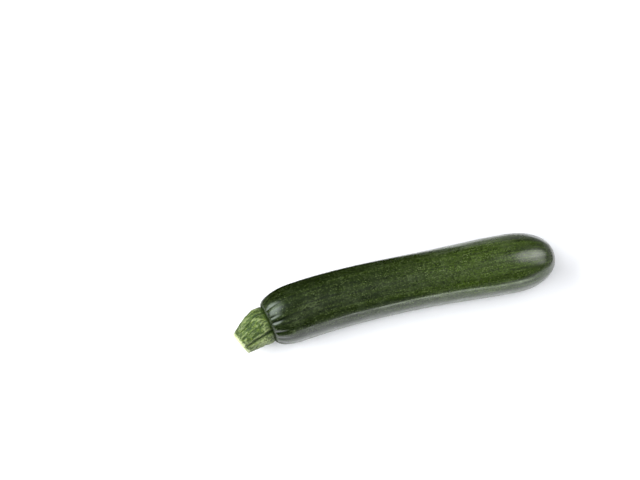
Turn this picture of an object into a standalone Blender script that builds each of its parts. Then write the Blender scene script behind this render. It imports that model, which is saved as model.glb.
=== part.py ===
"""A courgette lying on its side: the fruit, and the ribbed stem it was cut with.

Both pieces are turned about the X axis as straight bodies, then given their furrows and ribs,
then bent along their own centrelines. X runs from the stem end to the blossom end, Z is up, and
the stem turns towards -Y. A bearing is an angle about the body's axis, measured from straight up
and growing towards -Y.
"""

import math
import random

import bmesh
import bpy
import numpy as np
from mathutils import Matrix, Vector
from mathutils.geometry import interpolate_bezier

# Fruit, in metres: its radius at three places along it, and how its two ends close in.
FRUIT_LENGTH = 0.196
SHOULDER_RADIUS = 0.0193
WAIST_RADIUS = 0.0186
BELLY_RADIUS = 0.0198
WAIST_AT = 0.105
BELLY_AT = 0.160
SHOULDER_RUN = 0.020
BLOSSOM_RUN = 0.032
BLOSSOM_POWER = 2.2
REST_DEPTH = 0.0003  # how far the body is flattened where it lies

# The neck's rim, and the shallow seat inside it that the stem grows from.
RIM_RADIUS = 0.0122
SEAT_RADIUS = 0.0117
SEAT_DEPTH = 0.0012

# The corky scar that the flower left, a shallow dish at the tip.
SCAR_RADIUS = 0.0034
SCAR_DEPTH = 0.0005
SCAR_FLOOR_SHARE = 0.7

# Furrows in the shoulder: (bearing in degrees, depth, reach along the fruit). Those on the
# upper side are placed one by one, and the rest are drawn at random around the other sides.
UPPER_FURROWS = (
    (8.0, 0.0007, 0.012),
    (21.0, 0.0013, 0.018),
    (48.0, 0.0011, 0.014),
    (68.0, 0.0010, 0.012),
)
OTHER_FURROWS = 11
FURROW_DEPTHS = (0.0007, 0.0013)
FURROW_REACHES = (0.009, 0.015)
FURROW_HALF_WIDTH = 11.0
FURROW_FADE_POWER = 1.5
FURROW_JITTER = 4.0
FURROW_START = 0.003  # a furrow is at its deepest this far from the rim
RIM_FURROW_SHARE = 0.2  # and this much of that depth is left at the rim
FURROW_SEED = 11
RELIEF_POWER = 3  # how fast furrows and grooves die away towards the axis on the end faces

# The body is faintly ten-sided.
BODY_SIDES = 10
BODY_SIDE_RISE = 0.00012
BODY_SIDE_BEARING = 5.0

# Stem.
STEM_LENGTH = 0.0226
STEM_CUT_RADIUS = 0.0082
STEM_TAPER = 0.0012
STEM_FLARE = 0.0037
STEM_FLARE_RUN = (0.04, 0.78)  # shares of the length, from the cut
STEM_NECKING = 0.0009  # how far the stem draws in again between its widest place and the neck
STEM_EDGE = 0.0005  # width of the rounding at the cut
CUT_DISH = 0.0005
CUT_PITH_SHARE = 0.45  # the cut is dished inside these two shares of its radius
CUT_FLAT_SHARE = 0.8
STEM_FOOT_RADIUS = 0.0100
STEM_FOOT_RUN = 0.0024  # the stem rounds under over this length
STEM_GAP = 0.00036  # left between the foot and the seat
STEM_RIBS = 5
STEM_GROOVE_BEARING = 45.0
STEM_GROOVE_DEPTH = 0.0022
STEM_GROOVE_SHALLOW = 0.65  # the other grooves' depth, as a share of the deep one's
STEM_GROOVE_HALF_WIDTH = 15.0
CUT_GROOVE_SHARE = 0.5

# Centrelines: headings are degrees from +X towards +Y, handles set how slowly each one turns.
NECK_HEADING = 10.5
NECK_HANDLE = 0.057
NECK_SIDE = 0.0006
TIP_HEADING = -3.2
TIP_HANDLE = 0.060
TIP_SIDE = -0.0009
CUT_OFFSET = Vector((-0.0211, -0.0087, -0.0030))
CUT_HEADING = 24.0
CUT_PITCH = 11.0

# Facets.
FRUIT_SEGMENTS = 90
SHOULDER_RINGS = 13
BODY_RINGS = 20
BLOSSOM_RINGS = 11
STEM_SEGMENTS = 60
STEM_RINGS = 20
STEM_FOOT_RINGS = 5
PATH_POINTS = 200
MERGE_DISTANCE = 0.000001
SHARP_EDGE = math.radians(35.0)


def ease(low, high, value):
    """Return 0 below low and 1 above high, with a smooth climb between."""
    share = min(max((value - low) / (high - low), 0.0), 1.0)
    return share * share * (3.0 - 2.0 * share)


def body_radius(x):
    """Return the fruit's radius at x as if neither end closed in."""
    waist = ease(SHOULDER_RUN, WAIST_AT, x) * (WAIST_RADIUS - SHOULDER_RADIUS)
    belly = ease(WAIST_AT, BELLY_AT, x) * (BELLY_RADIUS - WAIST_RADIUS)
    return SHOULDER_RADIUS + waist + belly


def fruit_outline():
    """Return the fruit's half outline as (x, radius), from the seat's centre to the tip."""
    points = [(SEAT_DEPTH, 0.0), (SEAT_DEPTH, SEAT_RADIUS / 2.0), (SEAT_DEPTH, SEAT_RADIUS)]
    for ring in range(SHOULDER_RINGS):
        turn = math.radians(90.0 * ring / SHOULDER_RINGS)
        x = SHOULDER_RUN * (1.0 - math.cos(turn))
        points.append((x, RIM_RADIUS + (body_radius(x) - RIM_RADIUS) * math.sin(turn)))
    blossom_start = FRUIT_LENGTH - BLOSSOM_RUN
    for ring in range(BODY_RINGS):
        x = SHOULDER_RUN + (blossom_start - SHOULDER_RUN) * ring / BODY_RINGS
        points.append((x, body_radius(x)))
    scar_share = SCAR_RADIUS / body_radius(blossom_start)
    last_turn = math.acos(scar_share ** (BLOSSOM_POWER / 2.0))
    for ring in range(BLOSSOM_RINGS + 1):
        turn = last_turn * ring / BLOSSOM_RINGS
        x = blossom_start + BLOSSOM_RUN * math.sin(turn) ** (2.0 / BLOSSOM_POWER)
        radius = body_radius(blossom_start) * math.cos(turn) ** (2.0 / BLOSSOM_POWER)
        points.append((x, radius))
    points.append((points[-1][0] - SCAR_DEPTH, SCAR_RADIUS * SCAR_FLOOR_SHARE))
    points.append((points[-1][0], 0.0))
    return points


def stem_wall_radius(x):
    """Return the radius of the stem's ribs at x, which is 0 at the neck and falls to the cut."""
    share = 1.0 + x / STEM_LENGTH
    start, full = STEM_FLARE_RUN
    flare = STEM_FLARE * min(max((share - start) / (full - start), 0.0), 1.0)
    necking = STEM_NECKING * ease(full, 1.0, share)
    return STEM_CUT_RADIUS + STEM_TAPER * min(share, 1.0) + flare - necking


def stem_outline():
    """Return the stem's half outline as (x, radius), from the cut's centre to the foot's."""
    cut = -STEM_LENGTH
    points = [
        (cut + CUT_DISH, 0.0),
        (cut + CUT_DISH / 2.0, STEM_CUT_RADIUS * CUT_PITH_SHARE),
        (cut, STEM_CUT_RADIUS * CUT_FLAT_SHARE),
        (cut, STEM_CUT_RADIUS - STEM_EDGE * 1.5),
        (cut + STEM_EDGE / 2.0, STEM_CUT_RADIUS - STEM_EDGE / 2.0),
    ]
    wall_start = cut + STEM_EDGE * 2.0
    wall_length = -STEM_FOOT_RUN - wall_start
    for ring in range(STEM_RINGS):
        x = wall_start + wall_length * ring / STEM_RINGS
        points.append((x, stem_wall_radius(x)))
    foot = SEAT_DEPTH - STEM_GAP
    foot_wall = stem_wall_radius(-STEM_FOOT_RUN)
    for ring in range(STEM_FOOT_RINGS + 1):
        turn = math.radians(90.0 * ring / STEM_FOOT_RINGS)
        x = -STEM_FOOT_RUN + (foot + STEM_FOOT_RUN) * math.sin(turn)
        points.append((x, STEM_FOOT_RADIUS + (foot_wall - STEM_FOOT_RADIUS) * math.cos(turn)))
    points.append((foot, STEM_FOOT_RADIUS / 2.0))
    points.append((foot, 0.0))
    return points


def turn_outline(outline, segments):
    """Return a bmesh of the outline turned once about the X axis."""
    body = bmesh.new()
    rim = [body.verts.new((x, 0.0, radius)) for x, radius in outline]
    edges = [body.edges.new(pair) for pair in zip(rim, rim[1:])]
    bmesh.ops.spin(
        body,
        geom=rim + edges,
        cent=(0.0, 0.0, 0.0),
        axis=(1.0, 0.0, 0.0),
        angle=math.tau,
        steps=segments,
        use_merge=True,
    )
    bmesh.ops.remove_doubles(body, verts=body.verts, dist=MERGE_DISTANCE)
    bmesh.ops.recalc_face_normals(body, faces=body.faces)
    return body


def bearing_gap(bearing, other):
    """Return the angle between two bearings, from 0 to 180 degrees."""
    return abs((bearing - other + 180.0) % 360.0 - 180.0)


def notch(gap, half_width):
    """Return 1 in the bottom of a groove, falling to 0 on the rounded ridge beside it."""
    return max(0.0, 1.0 - gap / half_width) ** 2


def furrows():
    """Return every furrow of the shoulder as (bearing, depth, reach)."""
    draw = random.Random(FURROW_SEED)
    first = UPPER_FURROWS[-1][0]
    step = (360.0 - first + UPPER_FURROWS[0][0]) / (OTHER_FURROWS + 1)
    found = list(UPPER_FURROWS)
    for index in range(OTHER_FURROWS):
        bearing = first + step * (index + 1) + draw.uniform(-FURROW_JITTER, FURROW_JITTER)
        found.append((bearing, draw.uniform(*FURROW_DEPTHS), draw.uniform(*FURROW_REACHES)))
    return found


def fruit_relief(x, bearing, marks):
    """Return how far the fruit's skin stands out from its turned shape."""
    height = 0.0
    opening = RIM_FURROW_SHARE + (1.0 - RIM_FURROW_SHARE) * ease(0.0, FURROW_START, x)
    for furrow_bearing, depth, reach in marks:
        fade = max(0.0, 1.0 - x / reach) ** FURROW_FADE_POWER
        gap = bearing_gap(bearing, furrow_bearing)
        height -= depth * opening * fade * notch(gap, FURROW_HALF_WIDTH)
    sides = math.cos(math.radians(BODY_SIDES * (bearing - BODY_SIDE_BEARING)))
    return height + BODY_SIDE_RISE * sides * ease(0.0, SHOULDER_RUN, x)


def stem_relief(x, bearing):
    """Return how far the stem's side stands in from its ribs: grooves between them."""
    height = 0.0
    share = min(max(1.0 + x / STEM_LENGTH, 0.0), 1.0)
    along = CUT_GROOVE_SHARE + (1.0 - CUT_GROOVE_SHARE) * share
    for groove in range(STEM_RIBS):
        depth = STEM_GROOVE_DEPTH * (STEM_GROOVE_SHALLOW if groove else 1.0)
        gap = bearing_gap(bearing, STEM_GROOVE_BEARING + groove * 360.0 / STEM_RIBS)
        height -= depth * along * notch(gap, STEM_GROOVE_HALF_WIDTH)
    return height


def carve(body, relief, outer_radius):
    """Move each vertex of a turned body in or out by its relief, fading towards the axis."""
    for vert in body.verts:
        radius = math.hypot(vert.co.y, vert.co.z)
        if radius < MERGE_DISTANCE:
            continue
        bearing = math.degrees(math.atan2(-vert.co.y, vert.co.z))
        depth = min(radius / outer_radius(vert.co.x), 1.0) ** RELIEF_POWER
        scale = 1.0 + relief(vert.co.x, bearing) * depth / radius
        vert.co.y *= scale
        vert.co.z *= scale


def heading_vector(heading, pitch=0.0):
    """Return the unit vector with this heading and upward pitch, in degrees."""
    level = math.cos(math.radians(pitch))
    return Vector(
        (
            level * math.cos(math.radians(heading)),
            level * math.sin(math.radians(heading)),
            math.sin(math.radians(pitch)),
        )
    )


def centreline(start, start_handle, end_handle, end):
    """Return a centreline's points, and the distance along it at each of them."""
    points = np.array(interpolate_bezier(start, start_handle, end_handle, end, PATH_POINTS))
    steps = np.linalg.norm(np.diff(points, axis=0), axis=1)
    return points, np.concatenate(([0.0], np.cumsum(steps)))


def bend(body, points, distances, start):
    """Bend a straight body so that its X axis follows a centreline that begins at x = start."""
    tangents = np.gradient(points, distances, axis=0)
    stretch = distances[-1]
    for vert in body.verts:
        along = vert.co.x - start
        place = Vector([np.interp(along, distances, points[:, axis]) for axis in range(3)])
        ahead = Vector([np.interp(along, distances, tangents[:, axis]) for axis in range(3)])
        ahead.normalize()
        side = Vector((0.0, 0.0, 1.0)).cross(ahead).normalized()
        lift = ahead.cross(side)
        beyond = along - min(max(along, 0.0), stretch)
        vert.co = place + ahead * beyond + side * vert.co.y + lift * vert.co.z


def lower_to_floor(body):
    """Set the underside level with z = 0 and cut the small flat that the fruit lies on."""
    for vert in body.verts:
        reach = min(max(vert.co.x, SHOULDER_RUN), BELLY_AT)
        vert.co.z += body_radius(reach) - REST_DEPTH
    cut = bmesh.ops.bisect_plane(
        body,
        geom=body.verts[:] + body.edges[:] + body.faces[:],
        dist=MERGE_DISTANCE,
        plane_co=(0.0, 0.0, 0.0),
        plane_no=(0.0, 0.0, -1.0),
        clear_outer=True,
    )
    rim = [item for item in cut["geom_cut"] if isinstance(item, bmesh.types.BMEdge)]
    bmesh.ops.holes_fill(body, edges=rim, sides=0)


def plain_material(name, colour, roughness):
    """Return a Principled BSDF material."""
    material = bpy.data.materials.new(name)
    material.use_nodes = True
    shader = material.node_tree.nodes["Principled BSDF"]
    shader.inputs["Base Color"].default_value = (*colour, 1.0)
    shader.inputs["Roughness"].default_value = roughness
    shader.inputs["Metallic"].default_value = 0.0
    return material


def add_piece(name, body, material, collection):
    """Make an object of a finished bmesh."""
    bmesh.ops.recalc_face_normals(body, faces=body.faces)
    mesh = bpy.data.meshes.new(name)
    body.to_mesh(mesh)
    body.free()
    mesh.materials.append(material)
    mesh.shade_smooth()
    mesh.set_sharp_from_angle(angle=SHARP_EDGE)
    piece = bpy.data.objects.new(name, mesh)
    collection.objects.link(piece)
    return piece


def make_fruit(collection):
    """Build the skinned fruit, from the stem's seat to the blossom scar."""
    marks = furrows()
    body = turn_outline(fruit_outline(), FRUIT_SEGMENTS)
    carve(body, lambda x, bearing: fruit_relief(x, bearing, marks), lambda x: RIM_RADIUS)
    tip = Vector((FRUIT_LENGTH, TIP_SIDE, 0.0))
    neck = Vector((0.0, NECK_SIDE, 0.0))
    neck_handle = neck + heading_vector(NECK_HEADING) * NECK_HANDLE
    tip_handle = tip - heading_vector(TIP_HEADING) * TIP_HANDLE
    points, distances = centreline(neck, neck_handle, tip_handle, tip)
    bend(body, points, distances, 0.0)
    lower_to_floor(body)
    skin = plain_material("courgette_skin", (0.035, 0.060, 0.018), 0.35)
    return add_piece("fruit", body, skin, collection)


def make_stem(collection):
    """Build the five-ribbed stem, from its cut face to the foot in the seat."""
    body = turn_outline(stem_outline(), STEM_SEGMENTS)
    carve(body, stem_relief, stem_wall_radius)
    neck = Vector((0.0, NECK_SIDE, SHOULDER_RADIUS - REST_DEPTH))
    cut = neck + CUT_OFFSET
    cut_handle = cut + heading_vector(CUT_HEADING, CUT_PITCH) * STEM_LENGTH / 3.0
    neck_handle = neck - heading_vector(NECK_HEADING) * STEM_LENGTH / 3.0
    points, distances = centreline(cut, cut_handle, neck_handle, neck)
    bend(body, points, distances, -distances[-1])
    green = plain_material("courgette_stem", (0.13, 0.20, 0.05), 0.6)
    return add_piece("stem", body, green, collection)


def centre_on_base(pieces):
    """Move the meshes together so that the middle of their joint box's base is the origin."""
    corners = np.array([vert.co[:] for piece in pieces for vert in piece.data.vertices])
    low = corners.min(axis=0)
    high = corners.max(axis=0)
    shift = Vector((-(low[0] + high[0]) / 2.0, -(low[1] + high[1]) / 2.0, -low[2]))
    for piece in pieces:
        piece.data.transform(Matrix.Translation(shift))


def main():
    for item in list(bpy.data.objects):
        bpy.data.objects.remove(item)
    collection = bpy.data.collections.new("courgette")
    bpy.context.scene.collection.children.link(collection)
    centre_on_base([make_fruit(collection), make_stem(collection)])


main()
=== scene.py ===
"""A dark green courgette lying on a pale table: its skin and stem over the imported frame.

Both pieces are turned about the X axis as straight bodies, given their furrows and ribs, and then
bent along their centrelines. X runs from the stem end to the blossom end, Z is up, and the stem
turns towards -Y. A bearing is an angle about the body's axis, measured from straight up and
growing towards -Y.
"""

import math
import random
from collections import namedtuple

import bmesh
import bpy
import numpy as np
from mathutils import Matrix, Vector, noise
from mathutils.geometry import interpolate_bezier


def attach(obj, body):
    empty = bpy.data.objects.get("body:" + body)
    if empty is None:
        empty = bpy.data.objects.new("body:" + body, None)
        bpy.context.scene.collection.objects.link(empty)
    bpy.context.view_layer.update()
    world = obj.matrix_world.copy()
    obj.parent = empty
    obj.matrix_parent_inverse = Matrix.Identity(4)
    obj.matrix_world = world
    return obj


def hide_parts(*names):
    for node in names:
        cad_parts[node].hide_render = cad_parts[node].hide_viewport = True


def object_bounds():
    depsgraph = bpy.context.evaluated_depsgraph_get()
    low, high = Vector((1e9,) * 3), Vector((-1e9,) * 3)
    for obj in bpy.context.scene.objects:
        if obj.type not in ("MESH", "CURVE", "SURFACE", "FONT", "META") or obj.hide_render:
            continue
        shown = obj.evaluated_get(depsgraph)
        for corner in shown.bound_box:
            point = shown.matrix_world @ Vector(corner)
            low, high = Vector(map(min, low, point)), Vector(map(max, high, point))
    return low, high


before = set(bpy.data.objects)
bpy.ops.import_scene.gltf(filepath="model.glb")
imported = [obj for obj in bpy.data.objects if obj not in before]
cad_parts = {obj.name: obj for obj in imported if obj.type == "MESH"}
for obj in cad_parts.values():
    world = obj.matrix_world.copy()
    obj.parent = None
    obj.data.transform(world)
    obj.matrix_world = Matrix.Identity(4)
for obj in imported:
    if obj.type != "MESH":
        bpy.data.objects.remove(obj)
CAD_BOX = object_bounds()

# Fruit, in metres: its radius at three places along it, and how its two ends close in.
FRUIT_LENGTH = 0.196
SHOULDER_RADIUS = 0.0193
WAIST_RADIUS = 0.0186
BELLY_RADIUS = 0.0198
WAIST_AT = 0.105
BELLY_AT = 0.160
SHOULDER_RUN = 0.020
BLOSSOM_RUN = 0.032
BLOSSOM_POWER = 2.2
REST_DEPTH = 0.0003  # how far the body is flattened where it lies

# The neck's rim, and the shallow seat inside it that the stem grows from.
RIM_RADIUS = 0.0122
SEAT_RADIUS = 0.0117
SEAT_DEPTH = 0.0012
SEAT_SHARES = (0.0, 0.3, 0.6, 0.85, 1.0)  # the rings of the seat's floor

# The corky scar that the flower left: a dish at the tip, as (depth, share of its radius), with
# a nub in its middle and puckers in the skin round it.
SCAR_RADIUS = 0.0034
SCAR_PROFILE = ((0.0002, 0.93), (0.0004, 0.84), (0.0005, 0.70), (0.0005, 0.40), (0.0003, 0.18))
SCAR_NUB = 0.00025
SCAR_PUCKERS = 17
PUCKER_DEPTH = 0.00012
PUCKER_REACH = 0.009

# Furrows in the shoulder: (bearing in degrees, depth, reach along the fruit). Those on the
# upper side are placed one by one, and the rest are drawn at random around the other sides.
UPPER_FURROWS = (
    (8.0, 0.0007, 0.012),
    (21.0, 0.0013, 0.018),
    (48.0, 0.0011, 0.014),
    (68.0, 0.0010, 0.012),
)
OTHER_FURROWS = 11
FURROW_DEPTHS = (0.0007, 0.0013)
FURROW_REACHES = (0.009, 0.015)
FURROW_HALF_WIDTH = 11.0
FURROW_FADE_POWER = 1.5
FURROW_JITTER = 4.0
FURROW_START = 0.003  # a furrow is at its deepest this far from the rim
RIM_FURROW_SHARE = 0.2  # and this much of that depth is left at the rim
# The furrows' dark lines are painted shade, and run on past the carved furrows.
FURROW_TRACE = 1.9  # how much farther a furrow's dark line runs than the furrow
FURROW_SEED = 11
RELIEF_POWER = 3  # how fast furrows and grooves die away towards the axis on the end faces

# The body is faintly ten-sided, with low dents in its skin that are longer than they are wide.
BODY_SIDES = 10
BODY_SIDE_RISE = 0.00012
BODY_SIDE_BEARING = 5.0
DENT_DEPTH = 0.00010
DENT_SIZE = (0.022, 0.006)  # along the fruit and round it

# Stem.
STEM_LENGTH = 0.0226
STEM_CUT_RADIUS = 0.0082
STEM_TAPER = 0.0012
STEM_FLARE = 0.0037
STEM_FLARE_RUN = (0.04, 0.78)  # shares of the length, from the cut
STEM_NECKING = 0.0009  # how far the stem draws in again between its widest place and the neck
STEM_EDGE = 0.0005  # width of the rounding at the cut
CUT_DISH = 0.0005
CUT_PITH_SHARE = 0.45  # the cut is dished inside these two shares of its radius
CUT_FLAT_SHARE = 0.8
CUT_RIM_SHARES = (0.90, 0.96)  # the cut's colour and fibres end between these shares
STEM_FOOT_RADIUS = 0.0100
STEM_FOOT_RUN = 0.0024  # the stem rounds under over this length
STEM_FOOT_SHARES = (0.7, 0.35, 0.0)  # the rings of the foot's underside
STEM_GAP = 0.00036  # left between the foot and the seat
STEM_RIBS = 5
STEM_GROOVE_BEARING = 45.0
STEM_GROOVE_DEPTH = 0.0022
STEM_GROOVE_SHALLOW = 0.65  # the other grooves' depth, as a share of the deep one's
STEM_GROOVE_HALF_WIDTH = 15.0
CUT_GROOVE_SHARE = 0.5  # how much of a groove's depth is left at the cut

# The stem's small relief: cords along the ribs, the pimples that its hairs stood on, and the
# fibres of the cut. Sizes are along the stem and round it.
CORD_DEPTH = 0.00040
CORD_SIZE = (0.010, 0.0016)
PIMPLE_DEPTH = 0.00026
PIMPLE_SIZE = (0.0020, 0.0013)
FOOT_FADE = (-0.0040, -0.0008)  # the relief dies away between these places before the seat
EDGE_FADE = 0.0040  # and over this length before the cut
EDGE_TRIM = 0.00012  # how far the side is drawn in at the cut
FIBRE_DEPTH = 0.00012
FIBRE_SIZE = 0.0006

# Where each kind of noise is read: a seed for each, times these steps along X, Y and Z.
NOISE_STEPS = (7.3, 3.1, 5.7)
DENT_SEED = 1.0
CORD_SEED = 2.0
PIMPLE_SEED = 3.0
FIBRE_SEED = 4.0

# Centrelines: headings are degrees from +X towards +Y, handles set how slowly each one turns.
NECK_HEADING = 10.5
NECK_HANDLE = 0.057
NECK_SIDE = 0.0006
TIP_HEADING = -3.2
TIP_HANDLE = 0.060
TIP_SIDE = -0.0009
CUT_OFFSET = Vector((-0.0211, -0.0087, -0.0030))
CUT_HEADING = 24.0
CUT_PITCH = 11.0

# How finely the pieces are turned.
FRUIT_SEGMENTS = 256
SHOULDER_RINGS = 44
BODY_RINGS = 110
BLOSSOM_RINGS = 34
STEM_SEGMENTS = 240
STEM_RINGS = 130
STEM_FOOT_RINGS = 12
CUT_RINGS = 16
PATH_POINTS = 400
MERGE_DISTANCE = 0.000001
SHARP_EDGE = math.radians(50.0)

# Colours of the skin.
NECK_GREEN = (0.0042, 0.0088, 0.0009)
MIDDLE_GREEN = (0.0096, 0.0200, 0.0016)
BLOSSOM_GREEN = (0.0470, 0.0830, 0.0078)
# Painted light: a lighter green for the lower flanks, as if lit from the pale table below.
TABLE_LIT_FLANK_GREEN = (0.0300, 0.0680, 0.0035)
FLECK_GREEN = (0.118, 0.160, 0.058)
PALE_FLECK = (0.150, 0.200, 0.090)
STREAK_GREEN = (0.045, 0.074, 0.010)
# A deep green for the clouds, mottle and seams, also used as painted shade along the furrows.
DEEP_GREEN_AND_FURROW_SHADE = (0.0016, 0.0046, 0.0004)
CORK_BROWN = (0.100, 0.072, 0.036)
CORK_PALE = (0.230, 0.180, 0.105)
CORK_DARK = (0.030, 0.021, 0.011)

# Colours of the stem.
STEM_GREEN = (0.038, 0.071, 0.006)
STEM_YELLOW = (0.108, 0.155, 0.015)
# STEM_PALE is also painted highlight on the cords and on the front side.
STEM_PALE = (0.285, 0.345, 0.150)
# STEM_DARK is also painted shade in the grooves, the hollows and at the foot.
STEM_DARK = (0.014, 0.030, 0.003)
CUT_FLESH = (0.540, 0.610, 0.340)
CUT_BUNDLE = (0.220, 0.310, 0.070)

# Streaks along a piece, as (width, length, contrast).
SKIN_STREAKS = (0.0015, 0.0500, 0.12)
SKIN_MOTTLE = (0.0005, 0.0012, 0.04)
SKIN_GRAIN = (0.0010, 0.0200, 0.10)
SKIN_SEAMS = (0.0014, 0.0300, 0.12)
SKIN_SCRATCHES = (0.0004, 0.0030, 0.05)
SKIN_WIPES = (0.0013, 0.0100, 0.10)
SKIN_RIDGES = (0.0014, 0.0160, 0.30)
STEM_STREAKS = (0.0008, 0.0060, 0.10)
STEM_MOTTLE = (0.0009, 0.0014, 0.07)
STEM_CREASES = (0.0006, 0.0018, 0.07)

# Soft dots, as (spacing, stretch along the piece, radius as a share of the spacing).
SMALL_FLECKS = (0.0011, 1.20, 0.52)
LARGE_FLECKS = (0.0030, 1.25, 0.22)
STEM_DOTS = (0.0012, 1.30, 0.38)
CUT_BUNDLES = (0.0013, 1.00, 0.50)
DOT_CORE = 0.25  # a dot is at its strongest inside this share of its radius
FAINTEST_DOT = 0.35

# Lumpy noise, as (size of its lumps, detail).
SKIN_CLOUDS = (0.018, 2.0)
SKIN_SCUFFS = (0.016, 3.0)
GLOSS_CLOUDS = (0.006, 2.0)
SKIN_PORES = (0.0009, 2.0)
WAX_RIPPLES = (0.0016, 2.0)
CORK_FLAKES = (0.0011, 3.0)
CORK_CRUST = (0.0005, 2.0)
STEM_PATCHES = (0.0060, 2.0)
STEM_PORES = (0.0005, 2.0)
RAGGED_EDGE = (0.0012, 2.0)

# How much there is of a colour, the wax or the ripples, as (from, to, share at from, share at
# to). These follow the way along the skin from the middle of the seat.
RIM_AT = SEAT_RADIUS + SEAT_DEPTH
NECK_TO_MIDDLE = (0.010, 0.110, 0.0, 1.0)
MIDDLE_TO_BLOSSOM = (0.080, 0.180, 0.0, 1.0)
STREAKS_ALONG = (0.020, 0.120, 0.20, 0.40)
FLECKS_ALONG = (0.010, 0.150, 0.40, 1.0)
LARGE_FLECKS_ALONG = (RIM_AT, 0.040, 0.90, 0.35)
GRAIN_ALONG = (0.120, 0.200, 0.10, 0.35)
SEAMS_ALONG = (0.130, 0.205, 0.30, 0.55)
WAX_ALONG = (RIM_AT, RIM_AT + 0.0030, 0.0, 1.0)
RIPPLES_AT_NECK = (0.018, 0.045, 4.0, 1.0)
RIPPLES_AT_TIP = (0.160, 0.185, 0.0, 3.0)

# These follow the way left to the tip.
PUCKERS_BEFORE_TIP = (0.0150, 0.0040, 0.0, 0.45)
SCAR_BEFORE_TIP = (0.0046, 0.0036, 0.0, 1.0)

# These follow the height on the straight fruit, over its axis.
# Painted light: the lower flanks are painted a lighter green, as if lit from the pale table below.
TABLE_LIT_FLANK_SHARE = (-0.004, 0.009, 0.65, 0.0)
FLECKS_BY_HEIGHT = (0.0, 0.011, 0.30, 1.0)

# These follow a pattern's own value, or a value that the piece keeps.
CLOUD_SHARE = (0.35, 0.75, 0.0, 0.25)
MOTTLE_SHARE = (0.0, 1.0, 0.0, 0.80)
FLECKS_IN_STREAKS = (0.0, 1.0, 0.55, 1.0)
SCUFFED_SHARE = (0.52, 0.75, 0.0, 0.30)
SCRATCH_SHARE = (0.55, 1.0, 0.0, 1.0)
# Painted shade along the furrows.
PAINTED_FURROW_SHADE = (0.12, 0.80, 0.0, 0.90)
FLAKE_SHARE = (0.35, 0.62, 0.0, 1.0)
CRUST_SHARE = (0.50, 0.66, 0.0, 0.70)
PATCH_SHARE = (0.48, 0.66, 0.0, 0.40)
CREASE_SHARE = (0.45, 1.0, 0.0, 0.80)
# Painted highlight on the raised cords, and painted shade in the hollows between them.
PAINTED_CORD_HIGHLIGHT = (0.02, 0.35, 0.0, 0.42)
PAINTED_HOLLOW_SHADE = (-0.35, -0.02, 0.75, 0.0)
# Painted shade in the stem's grooves.
PAINTED_GROOVE_SHADE = (0.15, 0.70, 0.0, 1.0)
STEM_DOT_SHARE = 0.7

# These follow the place on the straight stem: across it, along it, and along it from the cut.
# Painted highlight: the side that faces the front is paler.
PAINTED_FRONT_HIGHLIGHT = (-0.0110, -0.0050, 0.40, 0.0)
# Painted shade: the stem darkens towards its foot in the seat.
PAINTED_FOOT_SHADE = (-0.0030, 0.0, 0.0, 0.80)
PALE_EDGE = (0.0022, 0.0050, 0.95, 0.0)
RAGGED_REACH = 0.0042  # how far the pale edge wanders along the stem

# Gloss. The skin's wax is wiped thin in streaks, and mirrors less where it is seen edge on.
SKIN_ROUGHNESS = (0.30, 0.70, 0.26, 0.36)  # these three have the same form as those above
WIPED_SHARE = (0.0, 1.0, 0.60, 1.0)
EDGE_ON_SHARE = (0.62, 0.95, 1.0, 0.25)
SKIN_SPECULAR = 0.35
PLANT_IOR = 1.5
WAX_ROUGHNESS = 0.07
WAX_IOR = 1.46
STEM_ROUGHNESS = 0.5

# Fine relief, as (strength, height).
SKIN_BUMP = (0.25, 0.00005)
STEM_BUMP = (0.70, 0.00015)
RIPPLE_BUMP = (0.22, 0.00010)
PORE_SHARE = 0.4  # the pores' height, as a share of the ridges'
RIPPLE_STRETCH = (0.06, 1.0, 1.0)  # places are drawn together along the fruit by this much

# Camera. It aims at a point moved this far to its own right, its own up, and over the table.
CAMERA_AZIMUTH = -14.33
CAMERA_ELEVATION = 70.0
CAMERA_DISTANCE = 0.9988
CAMERA_LENS = 85.0
CAMERA_CLIP = 0.01
AIM_RIGHT = -0.0485
AIM_UP = 0.0327
AIM_HEIGHT = 0.019

# The table, the dark card that stands in front of it, and a grey shade round the neck.
FLAT = Matrix.Identity(3)
TABLE_HALF = 3.0
TABLE_WHITE = (0.84, 0.853, 0.885)
TABLE_ROUGHNESS = 0.7
FRONT_CARD_LENGTH = 1.00
FRONT_CARD_HEIGHT = 0.110
FRONT_CARD_AWAY = 0.220
SHADE_GREY = (0.22, 0.22, 0.22)
SHADE_CORE = 0.35  # the shade is at its darkest inside this share of its size
NECK_SHADE_PLACE = Vector((-0.110, 0.012, 0.0006))
NECK_SHADE_SIZE = (0.055, 0.060)

# Rolls that lie near the fruit and shade its gloss: (name, place, half sizes, heading, grey).
ROLLS = (
    ("back_roll", Vector((-0.050, 0.046, 0.020)), (0.110, 0.018, 0.020), 5.0, 0.0),
    ("far_roll", Vector((0.110, 0.085, 0.015)), (0.095, 0.030, 0.028), -20.0, 0.22),
    ("tip_roll", Vector((0.185, 0.000, 0.012)), (0.030, 0.080, 0.025), 0.0, 0.22),
)
ROLL_SEGMENTS = 48
ROLL_RINGS = 24

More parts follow.
